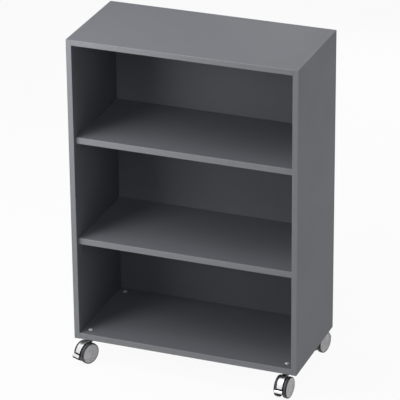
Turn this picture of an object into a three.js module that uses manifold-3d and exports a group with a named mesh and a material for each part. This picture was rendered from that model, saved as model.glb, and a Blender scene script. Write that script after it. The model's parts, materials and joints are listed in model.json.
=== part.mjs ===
// Mobile open bookcase: a board carcass with two loose shelves on four braked twin-wheel casters.
// Millimetres. X runs to the right, Y to the rear, Z up; the origin is on the floor under the middle.

import * as THREE from 'three';
import { mergeVertices } from 'three/addons/utils/BufferGeometryUtils.js';
import Module from 'manifold-3d';

const wasm = await Module();
wasm.setup();

// Carcass
const carcassWidth = 800;
const carcassDepth = 380;
const carcassHeight = 1090;
const sideThickness = 19;
const topThickness = 19;
const bottomThickness = 22;
const backThickness = 8;
const rebateWidth = 9;
const backClearance = 0.5;

// Shelves
const shelfThickness = 22;
const lowerClearHeight = 329;
const middleClearHeight = 346;
const shelfSetback = 15;
const shelfSideClearance = 1;
const shelfBackClearance = 1;

// Plastic edge bands on the front edges
const bandThickness = 2;
const bandRadius = 1.5;

// Shelf pins and their holes
const pinDiameter = 5;
const pinPlugLength = 10;
const pinPegLength = 10;
const pinCollarDiameter = 9;
const pinChamfer = 0.6;
const pinHoleClearance = 0.3;
const pinHoleEndClearance = 1.5;
const pinSeatGap = 0.2;
const pinFrontInset = 52;
const pinBackInset = 58;
const holeRowPitch = 32;
const spareHoles = 1;

// Casters: places, height and wheels
const casterHeight = 92;
const casterSideInset = 45;
const casterEndInset = 36;
const casterTrail = 22;
const wheelDiameter = 75;
const wheelWidth = 15;
const wheelGap = 16;
const runningGap = 0.3;

// Tyre
const tyreThickness = 4;
const tyreShoulder = 2.2;
const treadGrooveWidth = 2.4;
const treadGrooveDepth = 0.8;

// Wheel centre
const rimThickness = 3.2;
const rimInnerSetback = 1;
const faceLipWidth = 3;
const faceDish = 1.6;
const faceBossRadius = 13;
const faceBossRise = 1;
const wheelHubRadius = 9;
const wheelFaceThickness = 4;
const axleBoreEndWall = 3;

// Axle
const axleDiameter = 8;
const axleEndClearance = 0.5;

// Swivel stem: flange under the bottom board, collar and pintle inside the hood
const flangeDiameter = 42;
const flangeThickness = 3.5;
const flangeChamfer = 1.2;
const collarDiameter = 16;
const collarDepth = 6;
const pintleDiameter = 9;
const retainerDiameter = 12;
const retainerHeight = 3.5;

// Bolt from inside the case into the stem, its head in a shallow seat
const boltDiameter = 8;
const boltHeadDiameter = 15;
const boltHeadHeight = 3.4;
const boltReachInStem = 7.5;
const boltSocketWidth = 5;
const boltSocketDepth = 2;
const boltSeatDepth = 1;
const boltSeatClearance = 0.5;

// Hood: hub on the stem, web between the wheels, strap over the treads
const hubDiameter = 28;
const hubWheelClearance = 1.3;
const hubChamfer = 1;
const webSideClearance = 0.7;
const neckDrop = 5.5;
const neckRearWall = 8;
const neckOverlap = 2;
const retainerClearance = 1;
const strapWidth = 22;
const strapThickness = 3;
const strapWheelClearance = 2;
const axleBossRadius = 10.5;

// Brake pedal
const pedalPivotRadius = 27;
const trunnionDiameter = 4.4;
const trunnionReach = 2.4;
const earRadius = 6.5;
const pedalArmWidth = 8;
const pedalArmHeight = 5;
const pedalHubRadius = 4.6;
const pedalSlotClearance = 0.5;
const pedalHubClearance = 1;
const pedalPlateWidth = 28;
const pedalPlateThickness = 3;
const pedalPlateHeight = 10;
const pedalPlateStandoff = 8;
const pedalPlateFlare = 4;
const pedalPlateBulge = 2;

// Angles round the axle, seen from the left: 0 to the rear, a quarter turn up, a half turn to the front
const degrees = Math.PI / 180;
const strapFrontAngle = 166 * degrees;
const pedalPivotAngle = 187 * degrees;
const pedalTopAngle = 171 * degrees;
const earStartAngle = 150 * degrees;
const earEndAngle = 285 * degrees;
const bossStartAngle = 245 * degrees;
const bossEndAngle = 330 * degrees;

// Each caster: its corner of the case and its turn about the swivel axis as photographed
const casterTable = [
  { name: 'front_left', side: -1, end: -1, turn: -24 * degrees },
  { name: 'front_right', side: 1, end: -1, turn: -5 * degrees },
  { name: 'back_left', side: -1, end: 1, turn: 156 * degrees },
  { name: 'back_right', side: 1, end: 1, turn: 168 * degrees },
];

// Facets round a full turn
const wheelFacets = 20;
const smallFacets = 12;
const pinFacets = 8;
const socketFacets = 6;
const curveSteps = 5;
const bandCornerSteps = 3;

// One overrun serves every cut, and meshes are welded below this distance
const cutOverrun = 1;
const weldDistance = 0.0001;

// Levels and faces that several pieces share
const half = (length) => length / 2;
const floorToCase = casterHeight;
const caseTop = casterHeight + carcassHeight;
const frontFace = -half(carcassDepth);
const rearFace = half(carcassDepth);
const outerFace = half(carcassWidth);
const innerFace = outerFace - sideThickness;
const boardFront = frontFace + bandThickness;
const backFront = rearFace - backThickness;
const topUnderside = caseTop - topThickness;
const bottomUpperside = floorToCase + bottomThickness;
const boltSeat = bottomUpperside - boltSeatDepth;
const lowerShelfUnderside = bottomUpperside + lowerClearHeight;
const upperShelfUnderside = lowerShelfUnderside + shelfThickness + middleClearHeight;
const pinRadius = half(pinDiameter);
const pinFrontY = frontFace + pinFrontInset;
const pinBackY = rearFace - pinBackInset;
const wheelRadius = half(wheelDiameter);
const flangeUnderside = floorToCase - flangeThickness;
const collarUnderside = flangeUnderside - collarDepth;
const hubTop = flangeUnderside - runningGap;
const hubUnderside = wheelDiameter + hubWheelClearance;
const neckUnderside = hubUnderside - neckDrop;
const stemX = (caster) => caster.side * (outerFace - casterSideInset);
const stemY = (caster) => caster.end * (rearFace - casterEndInset);

const finish = (color, roughness, metalness) =>
  () => new THREE.MeshStandardMaterial({ color, roughness, metalness });
const boardMaterial = finish(0x5c5d61, 0.6, 0);
const bandMaterial = finish(0x68696d, 0.5, 0);
const chromeMaterial = finish(0xe4e6e8, 0.12, 1);
const steelMaterial = finish(0xb9bcbf, 0.3, 1);
const wheelMaterial = finish(0xa0a0a2, 0.45, 0);
const tyreMaterial = finish(0x17181a, 0.7, 0);

const bookcase = new THREE.Group();

// A geometry as a boolean solid: welded, without the flat triangles that a lathe leaves on its axis
function solid(geometry) {
  const bare = geometry.index ? geometry.clone() : mergeVertices(geometry);
  bare.deleteAttribute('normal');
  bare.deleteAttribute('uv');
  const welded = mergeVertices(bare, weldDistance);
  const corners = welded.index.array;
  const kept = [];
  for (let i = 0; i < corners.length; i += 3) {
    const [a, b, c] = [corners[i], corners[i + 1], corners[i + 2]];
    if (a !== b && b !== c && c !== a) kept.push(a, b, c);
  }
  return new wasm.Manifold(new wasm.Mesh({
    numProp: 3,
    vertProperties: Float32Array.from(welded.attributes.position.array),
    triVerts: Uint32Array.from(kept),
  }));
}

// A boolean solid back as a three.js geometry
function geometryOf(manifold) {
  const mesh = manifold.getMesh();
  const geometry = new THREE.BufferGeometry();
  geometry.setAttribute('position', new THREE.BufferAttribute(Float32Array.from(mesh.vertProperties), 3));
  geometry.setIndex(new THREE.BufferAttribute(Uint32Array.from(mesh.triVerts), 1));
  geometry.computeVertexNormals();
  return geometry;
}

function cut(geometry, cutters) {
  return geometryOf(cutters.reduce((body, cutter) => body.subtract(solid(cutter)), solid(geometry)));
}

function fuse(geometries) {
  const [first, ...others] = geometries;
  return geometryOf(others.reduce((body, other) => body.add(solid(other)), solid(first)));
}

function addMesh(parent, name, geometry, material, x = 0, y = 0, z = 0) {
  const mesh = new THREE.Mesh(geometry, material);
  mesh.name = name;
  mesh.position.set(x, y, z);
  parent.add(mesh);
  return mesh;
}

// A box between two corners
function block(x0, x1, y0, y1, z0, z1) {
  const box = new THREE.BoxGeometry(x1 - x0, y1 - y0, z1 - z0);
  return box.translate(half(x0 + x1), half(y0 + y1), half(z0 + z1));
}

// A profile of [radius, height] pairs turned about an upright axis; flats face up, down and sideways
function turned(profile, facets) {
  const points = profile.map(([radius, height]) => new THREE.Vector2(radius, height));
  const lathe = new THREE.LatheGeometry(points, facets, Math.PI / facets);
  return lathe.rotateX(half(Math.PI));
}

// The same, about an axis that runs to the right
function turnedAcross(profile, facets) {
  const points = profile.map(([radius, reach]) => new THREE.Vector2(radius, reach));
  const lathe = new THREE.LatheGeometry(points, facets, Math.PI / facets);
  return lathe.rotateZ(-half(Math.PI));
}

// The radius of the corners of a polygon whose flats lie at the given radius
function overFlats(radius, facets) {
  return radius / Math.cos(Math.PI / facets);
}

function extruded(shape, depth, curveSegments) {
  return new THREE.ExtrudeGeometry(shape, { depth, curveSegments, bevelEnabled: false });
}

// A side view of [rear, up] coordinates given a width across
function across(shape, width) {
  const body = extruded(shape, width, curveSteps);
  const toSideView = new THREE.Matrix4().makeBasis(
    new THREE.Vector3(0, 1, 0), new THREE.Vector3(0, 0, 1), new THREE.Vector3(1, 0, 0));
  return body.translate(0, 0, -half(width)).applyMatrix4(toSideView);
}

function polar(radius, angle) {
  return [radius * Math.cos(angle), radius * Math.sin(angle)];
}

// Both sides have the back panel's rebate, stopped above and below, and the shelf pins' blind holes
function sideBoard(hand) {
  const board = block(-half(sideThickness), half(sideThickness), boardFront, rearFace, floorToCase, caseTop);
  const inside = -hand * half(sideThickness);
  const rebateFloor = inside + hand * rebateWidth;
  const rebateX = [inside - hand * cutOverrun, rebateFloor].sort((a, b) => a - b);
  const rebate = block(...rebateX, backFront, rearFace + cutOverrun,
    bottomUpperside - rebateWidth, topUnderside + rebateWidth);
  const holes = [];
  const holeRadius = overFlats(pinRadius + pinHoleClearance, pinFacets);
  const holeDepth = pinPlugLength + pinHoleEndClearance;
  for (const underside of [lowerShelfUnderside, upperShelfUnderside]) {
    for (const y of [pinFrontY, pinBackY]) {
      for (let row = -spareHoles; row <= spareHoles; row += 1) {
        const hole = turnedAcross(
          [[0, -cutOverrun], [holeRadius, -cutOverrun], [holeRadius, holeDepth], [0, holeDepth]], pinFacets);
        if (hand < 0) hole.rotateZ(Math.PI);
        holes.push(hole.translate(inside, y, pinHeight(underside) + row * holeRowPitch));
      }
    }
  }
  return cut(board, [rebate, ...holes]);
}

// The axis of the pins that carry a shelf
function pinHeight(underside) {
  return underside - pinSeatGap - pinRadius;
}

function bottomBoard() {
  const board = block(-innerFace, innerFace, boardFront, rearFace, 0, bottomThickness);
  const rebate = block(-innerFace - cutOverrun, innerFace + cutOverrun, backFront, rearFace + cutOverrun,
    bottomThickness - rebateWidth, bottomThickness + cutOverrun);
  const boreRadius = half(boltDiameter) + runningGap;
  const seatRadius = overFlats(half(boltHeadDiameter) + boltSeatClearance, smallFacets);
  const seat = boltSeat - floorToCase;
  const bores = casterTable.map((caster) => turned([
    [0, -cutOverrun], [boreRadius, -cutOverrun], [boreRadius, seat], [seatRadius, seat],
    [seatRadius, bottomThickness + cutOverrun], [0, bottomThickness + cutOverrun],
  ], smallFacets).translate(stemX(caster), stemY(caster), 0));
  return cut(board, [rebate, ...bores]);
}

function topBoard() {
  const board = block(-innerFace, innerFace, boardFront, rearFace, 0, topThickness);
  const rebate = block(-innerFace - cutOverrun, innerFace + cutOverrun, backFront, rearFace + cutOverrun,
    -cutOverrun, rebateWidth);
  return cut(board, [rebate]);
}

// A band as thick as its board is wide, with its two front edges rounded; it runs upwards
function edgeBand(width, length) {
  const shape = new THREE.Shape();
  const edge = half(width);
  shape.moveTo(-edge, 0);
  shape.lineTo(-edge, -bandThickness + bandRadius);
  shape.absarc(-edge + bandRadius, -bandThickness + bandRadius, bandRadius, Math.PI, 1.5 * Math.PI, false);
  shape.absarc(edge - bandRadius, -bandThickness + bandRadius, bandRadius, 1.5 * Math.PI, 2 * Math.PI, false);
  shape.lineTo(edge, 0);
  shape.closePath();
  return extruded(shape, length, bandCornerSteps);
}

function edgeBandAcross(width, length) {
  return edgeBand(width, length).translate(0, 0, -half(length)).rotateY(half(Math.PI));
}

function addCarcass() {
  const sideX = outerFace - half(sideThickness);
  addMesh(bookcase, 'side_panel_left', sideBoard(-1), boardMaterial(), -sideX);
  addMesh(bookcase, 'side_panel_right', sideBoard(1), boardMaterial(), sideX);
  addMesh(bookcase, 'top_panel', topBoard(), boardMaterial(), 0, 0, topUnderside);
  addMesh(bookcase, 'bottom_panel', bottomBoard(), boardMaterial(), 0, 0, floorToCase);
  const backReach = innerFace + rebateWidth - backClearance;
  const backLow = bottomUpperside - rebateWidth + backClearance;
  const backHigh = topUnderside + rebateWidth - backClearance;
  addMesh(bookcase, 'back_panel', block(-backReach, backReach, backFront, rearFace, backLow, backHigh),
    boardMaterial());
  const sideBand = () => edgeBand(sideThickness, carcassHeight);
  addMesh(bookcase, 'side_edge_left', sideBand(), bandMaterial(), -sideX, boardFront, floorToCase);
  addMesh(bookcase, 'side_edge_right', sideBand(), bandMaterial(), sideX, boardFront, floorToCase);
  const innerWidth = 2 * innerFace;
  addMesh(bookcase, 'top_edge', edgeBandAcross(topThickness, innerWidth), bandMaterial(),
    0, boardFront, caseTop - half(topThickness));
  addMesh(bookcase, 'bottom_edge', edgeBandAcross(bottomThickness, innerWidth), bandMaterial(),
    0, boardFront, floorToCase + half(bottomThickness));
}

function addShelf(name, underside) {
  const reach = innerFace - shelfSideClearance;
  const front = frontFace + shelfSetback;
  const coreFront = front + bandThickness;
  const rear = backFront - shelfBackClearance;
  const board = block(-reach, reach, coreFront, rear, 0, shelfThickness);
  addMesh(bookcase, `shelf_${name}`, board, boardMaterial(), 0, 0, underside);
  addMesh(bookcase, `shelf_edge_${name}`, edgeBandAcross(shelfThickness, 2 * reach), bandMaterial(),
    0, coreFront, underside + half(shelfThickness));
  for (const [side, hand] of [['left', -1], ['right', 1]]) {
    for (const [end, y] of [['front', pinFrontY], ['back', pinBackY]]) {
      const pin = addMesh(bookcase, `shelf_pin_${name}_${end}_${side}`, shelfPin(), steelMaterial(),
        hand * innerFace, y, pinHeight(underside));
      if (hand < 0) pin.rotation.z = Math.PI;
    }
  }
}

// Plug in the side's hole, a thin collar beside the shelf's end and a peg under the shelf
function shelfPin() {
  const radius = overFlats(pinRadius, pinFacets);
  const tip = radius - pinChamfer;
  const collar = half(pinCollarDiameter);
  const collarReach = shelfSideClearance - runningGap;
  return turnedAcross([
    [0, -pinPegLength], [tip, -pinPegLength], [radius, -pinPegLength + pinChamfer],
    [radius, -collarReach], [collar, -collarReach], [collar, -pinSeatGap], [radius, -pinSeatGap],
    [radius, pinPlugLength], [0, pinPlugLength],
  ], pinFacets);
}

// A low domed head in its seat, with a six-sided socket, and a shank down into the stem
function caseBolt() {
  const shank = half(boltDiameter);
  const head = half(boltHeadDiameter);
  const low = floorToCase - boltReachInStem;
  const headShares = [[1, 0], [1, 0.35], [0.9, 0.75], [0.62, 1], [0, 1]];
  const body = turned([
    [0, low], [shank, low], [shank, boltSeat],
    ...headShares.map(([outward, up]) => [outward * head, boltSeat + up * boltHeadHeight]),
  ], smallFacets);
  const socketRadius = overFlats(half(boltSocketWidth), socketFacets);
  const socketFloor = boltSeat + boltHeadHeight - boltSocketDepth;
  const socketTop = boltSeat + boltHeadHeight + cutOverrun;
  const socket = turned([
    [0, socketFloor], [socketRadius, socketFloor], [socketRadius, socketTop], [0, socketTop],
  ], socketFacets);
  return cut(body, [socket]);
}

// Flange under the bottom board, collar and pintle inside the hood, and a retaining ring under its neck
function swivelStem() {
  const pintle = half(pintleDiameter);
  const retainer = half(retainerDiameter);
  const retainerTop = neckUnderside - runningGap;
  const retainerLow = retainerTop - retainerHeight;
  const flange = half(flangeDiameter);
  const bore = half(boltDiameter) + runningGap;
  const boreFloor = floorToCase - boltReachInStem - runningGap;
  return turned([
    [0, retainerLow], [pintle, retainerLow], [retainer, half(retainerLow + retainerTop)],
    [retainer, retainerTop], [pintle, retainerTop], [pintle, collarUnderside],
    [half(collarDiameter), collarUnderside], [half(collarDiameter), flangeUnderside],
    [flange, flangeUnderside], [flange, floorToCase - flangeChamfer], [flange - flangeChamfer, floorToCase],
    [bore, floorToCase], [bore, boreFloor], [0, boreFloor],
  ], smallFacets);
}

// The hood's side view, measured from the axle: strap radius, ear round the pedal pivot, axle boss and neck
function webShape(strapStart) {
  const shape = new THREE.Shape();
  const reach = wheelRadius + strapWheelClearance + half(strapThickness);
  const neckFront = casterTrail - half(retainerDiameter) - retainerClearance;
  const neckRear = casterTrail + neckRearWall;
  const neckLow = neckUnderside - wheelRadius;
  const hubLow = hubUnderside - wheelRadius;
  shape.moveTo(neckRear, neckLow);
  shape.lineTo(neckRear, hubLow + neckOverlap);
  shape.absarc(0, 0, reach, strapStart, strapFrontAngle, false);
  shape.absarc(...polar(pedalPivotRadius, pedalPivotAngle), earRadius, earStartAngle, earEndAngle, false);
  shape.absarc(0, 0, axleBossRadius, bossStartAngle, bossEndAngle, false);
  shape.quadraticCurveTo(axleBossRadius, half(neckLow), neckFront, neckLow);
  shape.closePath();
  return shape;
}

// Chrome casting in axle coordinates: hub on the stem, web between the wheels and strap over the treads
function hood() {
  const strapIn = wheelRadius + strapWheelClearance;
  const strapOut = strapIn + strapThickness;
  const strapStart = Math.acos((casterTrail - half(half(hubDiameter))) / strapOut);
  const ring = new THREE.Shape();
  ring.absarc(0, 0, strapOut, strapStart, strapFrontAngle, false);
  ring.absarc(0, 0, strapIn, strapFrontAngle, strapStart, true);
  ring.closePath();
  const webWidth = wheelGap - 2 * webSideClearance;
  const hubRadius = half(hubDiameter);
  const toAxle = (geometry) => geometry.translate(0, casterTrail, -wheelRadius);
  const hub = toAxle(turned([
    [0, hubUnderside], [hubRadius - hubChamfer, hubUnderside], [hubRadius, hubUnderside + hubChamfer],
    [hubRadius, hubTop - hubChamfer], [hubRadius - hubChamfer, hubTop], [0, hubTop],
  ], wheelFacets));
  const body = fuse([across(webShape(strapStart), webWidth), across(ring, strapWidth), hub]);

  const pintleBore = overFlats(half(pintleDiameter) + runningGap, smallFacets);
  const collarBore = overFlats(half(collarDiameter) + runningGap, smallFacets);
  const collarSeat = collarUnderside - runningGap;
  const stemBore = toAxle(turned([
    [0, neckUnderside - cutOverrun], [pintleBore, neckUnderside - cutOverrun], [pintleBore, collarSeat],
    [collarBore, collarSeat], [collarBore, hubTop + cutOverrun], [0, hubTop + cutOverrun],
  ], smallFacets));
  const boreEnd = half(webWidth) + cutOverrun;
  const axleBore = crossBore(half(axleDiameter) + runningGap, boreEnd);
  const [pivotRear, pivotUp] = polar(pedalPivotRadius, pedalPivotAngle);
  const trunnionBore = crossBore(half(trunnionDiameter) + runningGap, boreEnd);
  trunnionBore.translate(0, pivotRear, pivotUp);
  const slotReach = half(pedalArmWidth) + pedalSlotClearance;
  const slot = block(-slotReach, slotReach, -strapOut - cutOverrun, -axleBossRadius - pedalHubClearance,
    pivotUp - strapOut, pivotUp + pedalHubRadius + pedalHubClearance);
  return cut(body, [stemBore, axleBore, trunnionBore, slot]);
}

function crossBore(radius, reach) {
  const corner = overFlats(radius, smallFacets);
  return turnedAcross([[0, -reach], [corner, -reach], [corner, reach], [0, reach]], smallFacets);
}

// Lever in axle coordinates: a hub with two trunnions, an arm in the hood's slot and a flared foot plate
function brakePedal() {
  const [pivotRear, pivotUp] = polar(pedalPivotRadius, pedalPivotAngle);
  const [topRear, topUp] = polar(wheelRadius + pedalPlateStandoff, pedalTopAngle);
  const footRear = topRear - pedalPlateFlare;
  const footUp = topUp - pedalPlateHeight;
  const bulgeRear = half(topRear + footRear) - 2 * pedalPlateBulge;
  const bulgeUp = half(topUp + footUp);
  const plate = new THREE.Shape();
  plate.moveTo(topRear, topUp);
  plate.lineTo(topRear - pedalPlateThickness, topUp);
  plate.quadraticCurveTo(bulgeRear - pedalPlateThickness, bulgeUp, footRear - pedalPlateThickness, footUp);
  plate.lineTo(footRear, footUp);
  plate.quadraticCurveTo(bulgeRear, bulgeUp, topRear, topUp);
  const arm = new THREE.Shape();
  const armEnd = half(topRear + footRear) - pedalPlateThickness;
  arm.moveTo(pivotRear, pivotUp + half(pedalArmHeight));
  arm.lineTo(armEnd, bulgeUp + half(pedalArmHeight));
  arm.lineTo(armEnd, bulgeUp - half(pedalArmHeight));
  arm.lineTo(pivotRear, pivotUp - half(pedalArmHeight));
  arm.closePath();
  const pivotBarrel = (radius, reach) => turnedAcross([
    [0, -reach], [radius, -reach], [radius, reach], [0, reach],
  ], smallFacets).translate(0, pivotRear, pivotUp);
  return fuse([
    across(arm, pedalArmWidth), across(plate, pedalPlateWidth),
    pivotBarrel(pedalHubRadius, half(pedalArmWidth)),
    pivotBarrel(half(trunnionDiameter), half(pedalArmWidth) + trunnionReach),
  ]);
}

function axle() {
  const radius = half(axleDiameter);
  const reach = half(wheelGap) + wheelWidth - axleBoreEndWall - axleEndClearance;
  return turnedAcross([[0, -reach], [radius, -reach], [radius, reach], [0, reach]], smallFacets);
}

// Both wheel parts start at the wheel's inner face and reach out to its outer face
function tyre() {
  const outside = overFlats(wheelRadius, wheelFacets);
  const inside = overFlats(wheelRadius - tyreThickness, wheelFacets);
  const middle = half(wheelWidth);
  const grooveSide = half(treadGrooveWidth);
  return turnedAcross([
    [inside, 0], [outside - tyreShoulder, 0], [outside, tyreShoulder],
    [outside, middle - grooveSide], [outside - treadGrooveDepth, middle], [outside, middle + grooveSide],
    [outside, wheelWidth - tyreShoulder], [outside - tyreShoulder, wheelWidth], [inside, wheelWidth], [inside, 0],
  ], wheelFacets);
}

function wheelCentre() {
  const rim = overFlats(wheelRadius - tyreThickness - runningGap, wheelFacets);
  const rimInside = rim - rimThickness;
  const bore = overFlats(half(axleDiameter) + runningGap, wheelFacets);
  const boreEnd = wheelWidth - axleBoreEndWall;
  const dish = wheelWidth - faceDish;
  const pocket = dish - wheelFaceThickness;
  const lipInside = rim - faceLipWidth;
  return turnedAcross([
    [0, boreEnd], [bore, boreEnd], [bore, 0], [wheelHubRadius, 0], [wheelHubRadius, pocket],
    [rimInside, pocket], [rimInside, rimInnerSetback], [rim, rimInnerSetback], [rim, wheelWidth],
    [lipInside, wheelWidth], [lipInside - faceDish, dish], [faceBossRadius + faceBossRise, dish],
    [faceBossRadius, dish + faceBossRise], [0, dish + faceBossRise],
  ], wheelFacets);
}

function addCaster(caster) {
  const prefix = `caster_${caster.name}`;
  const x = stemX(caster);
  const y = stemY(caster);
  addMesh(bookcase, `${prefix}_bolt`, caseBolt(), chromeMaterial(), x, y);
  addMesh(bookcase, `${prefix}_stem`, swivelStem(), steelMaterial(), x, y);
  const swivel = new THREE.Group();
  swivel.position.set(x, y, 0);
  swivel.rotation.z = caster.turn;
  bookcase.add(swivel);
  addMesh(swivel, `${prefix}_hood`, hood(), chromeMaterial(), 0, -casterTrail, wheelRadius);
  addMesh(swivel, `${prefix}_pedal`, brakePedal(), chromeMaterial(), 0, -casterTrail, wheelRadius);
  addMesh(swivel, `${prefix}_axle`, axle(), steelMaterial(), 0, -casterTrail, wheelRadius);
  for (const [side, hand] of [['left', -1], ['right', 1]]) {
    const wheel = new THREE.Group();
    wheel.position.set(hand * half(wheelGap), -casterTrail, wheelRadius);
    if (hand < 0) wheel.rotation.z = Math.PI;
    swivel.add(wheel);
    addMesh(wheel, `${prefix}_wheel_${side}`, wheelCentre(), wheelMaterial());
    addMesh(wheel, `${prefix}_tyre_${side}`, tyre(), tyreMaterial());
  }
}

addCarcass();
addShelf('lower', lowerShelfUnderside);
addShelf('upper', upperShelfUnderside);
casterTable.forEach(addCaster);

export default bookcase;
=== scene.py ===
"""Looks of an open three-compartment bookcase on four braked twin-wheel casters.

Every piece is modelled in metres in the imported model's frame: +X to the right of the open front,
+Y to the back panel, +Z up, and the floor at zero. Each piece stands for the node that it is named
after.
"""

import json
import logging
import math
from dataclasses import dataclass
from enum import Enum, IntEnum
from functools import lru_cache
from typing import Any, Iterable, Sequence

import bmesh
import bpy
from bmesh.types import BMesh
from bpy.types import Material, Mesh, Node, NodeSocket, NodeTree
from mathutils import Matrix, Vector


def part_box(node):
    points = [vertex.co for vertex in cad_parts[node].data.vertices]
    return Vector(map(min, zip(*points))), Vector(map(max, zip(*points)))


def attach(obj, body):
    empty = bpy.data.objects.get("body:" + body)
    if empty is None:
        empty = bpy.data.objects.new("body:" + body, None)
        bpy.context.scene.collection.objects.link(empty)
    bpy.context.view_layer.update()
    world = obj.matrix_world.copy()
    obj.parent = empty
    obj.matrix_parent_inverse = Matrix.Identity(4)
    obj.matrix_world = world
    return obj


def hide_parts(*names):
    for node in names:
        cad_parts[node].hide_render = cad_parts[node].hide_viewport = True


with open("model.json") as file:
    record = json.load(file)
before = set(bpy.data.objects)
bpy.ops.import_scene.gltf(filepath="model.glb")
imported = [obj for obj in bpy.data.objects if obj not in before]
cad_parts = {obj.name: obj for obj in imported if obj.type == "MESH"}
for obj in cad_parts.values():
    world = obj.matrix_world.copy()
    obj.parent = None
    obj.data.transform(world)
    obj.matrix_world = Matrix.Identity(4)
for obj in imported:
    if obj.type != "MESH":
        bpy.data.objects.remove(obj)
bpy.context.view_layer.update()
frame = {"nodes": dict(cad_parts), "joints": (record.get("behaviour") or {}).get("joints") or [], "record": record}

log = logging.getLogger("bookcase")

MM = 0.001
MERGE_DISTANCE = 1e-6
SMOOTH_BELOW = math.radians(32)
EASED_ABOVE = math.radians(25)
EASING_FACETS = 2
RUB_STRENGTH = 0.5
SIDES = (("left", -1), ("right", 1))

Point = tuple[float, float]
Colour = tuple[float, float, float, float]


class Turn(Enum):
    """The axis that a turned piece spins about."""

    UPRIGHT = (0, 0, 1)
    ACROSS = (1, 0, 0)


class Shading(Enum):
    """How the faces of a piece meet in the light."""

    FLAT = "flat"
    SMOOTH = "smooth"


class TyreZone(IntEnum):
    """The finishes of a tyre, by material number: black painted shade on the shoulders and inner wall, then the
    grey tread and outer wall.
    """

    SHADED_SHOULDER = 0
    TREAD = 1
    WALL = 2


class FittingZone(IntEnum):
    """The finishes of a hood or a pedal, by material number: bright chrome, and black painted shade."""

    BRIGHT = 0
    BLACK = 1


def channel(value: int) -> float:
    """Turns one display channel of 0 to 255 into linear light, by the standard curve."""
    share = value / 255
    return share / 12.92 if share <= 0.04045 else ((share + 0.055) / 1.055) ** 2.4


def linear(red: int, green: int, blue: int) -> Colour:
    """Turns a display colour of 0 to 255 into the shader's linear colour, fully opaque."""
    return channel(red), channel(green), channel(blue), 1.0


# Mesh work


def moved(bm: BMesh, way: Sequence[float]) -> BMesh:
    """Moves a body and gives it back."""
    bmesh.ops.translate(bm, vec=way, verts=bm.verts)
    return bm


def block(low: Vector, high: Vector) -> BMesh:
    """Makes a box.

    Args:
        low: Its lowest corner.
        high: Its highest corner.

    Returns:
        The box.
    """
    bm = bmesh.new()
    bmesh.ops.create_cube(bm, size=1)
    bmesh.ops.scale(bm, vec=high - low, verts=bm.verts)
    return moved(bm, (low + high) / 2)


def soften(bm: BMesh, width: float) -> BMesh:
    """Eases the sharp edges of a body.

    Args:
        bm: The body, which is changed.
        width: How far the easing reaches from each edge.

    Returns:
        The same body.
    """
    sharp = [edge for edge in bm.edges
             if edge.is_manifold and edge.calc_face_angle() > EASED_ABOVE]
    bmesh.ops.bevel(bm, geom=sharp, offset=width, offset_type="OFFSET", segments=EASING_FACETS,
                    profile=0.5, affect="EDGES", clamp_overlap=True, material=-1)
    return bm


def turned(profile: Sequence[Point], turn: Turn, steps: int, angle: float = math.tau,
           start: float = 0.0) -> BMesh:
    """Spins a half section into a round body.

    Args:
        profile: Points of radius and reach along the axis, from axis to axis or back to the first.
        turn: The axis of the spin.
        steps: Facets round the spin.
        angle: How far the section is spun. Short of a full turn its two ends are closed.
        start: Where the spin starts, about the axis.

    Returns:
        The closed body with its faces outwards.
    """
    bm = bmesh.new()
    along = Vector(turn.value)
    outward = Matrix.Rotation(start, 3, along) @ Vector((0, 1, 0))
    loop = profile[0] == profile[-1]
    points = profile[:-1] if loop else profile
    section = [bm.verts.new(outward * radius + along * reach) for radius, reach in points]
    pairs = list(zip(section, section[1:])) + ([(section[-1], section[0])] if loop else [])
    edges = [bm.edges.new(pair) for pair in pairs]
    whole = math.isclose(angle, math.tau)
    swept = bmesh.ops.spin(bm, geom=section + edges, cent=(0, 0, 0), axis=along, dvec=(0, 0, 0),
                           angle=angle, steps=steps, use_merge=whole, use_duplicate=False)
    if not whole:
        last = [item for item in swept["geom_last"] if isinstance(item, bmesh.types.BMEdge)]
        bmesh.ops.contextual_create(bm, geom=edges)
        bmesh.ops.contextual_create(bm, geom=last)
    bmesh.ops.remove_doubles(bm, verts=bm.verts, dist=MERGE_DISTANCE)
    bmesh.ops.recalc_face_normals(bm, faces=bm.faces)
    return bm


def pressed(outline: Sequence[Point], width: float) -> BMesh:
    """Gives a side view a width, half to each side of the middle.

    Args:
        outline: The side view's points, each by its rear and up coordinates.
        width: The body's width across.

    Returns:
        The closed body with its faces outwards.
    """
    bm = bmesh.new()
    face = bm.faces.new([bm.verts.new((-width / 2, rear, up)) for rear, up in outline])
    grown = bmesh.ops.extrude_face_region(bm, geom=[face])["geom"]
    far = [item for item in grown if isinstance(item, bmesh.types.BMVert)]
    bmesh.ops.translate(bm, vec=(width, 0, 0), verts=far)
    bmesh.ops.recalc_face_normals(bm, faces=bm.faces)
    return bm


def joined(bodies: Iterable[BMesh]) -> BMesh:
    """Puts several bodies into one.

    Args:
        bodies: The bodies, which are freed.

    Returns:
        The one body.
    """
    whole = bmesh.new()
    for body in bodies:
        part = mesh_of(body, "part")
        whole.from_mesh(part)
        bpy.data.meshes.remove(part)
    return whole


def mesh_of(bm: BMesh, name: str) -> Mesh:
    """Turns a body into a mesh.

    Args:
        bm: The body, which is freed.
        name: The mesh's name.

    Returns:
        The mesh.
    """
    mesh = bpy.data.meshes.new(name)
    bm.to_mesh(mesh)
    bm.free()
    return mesh


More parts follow.
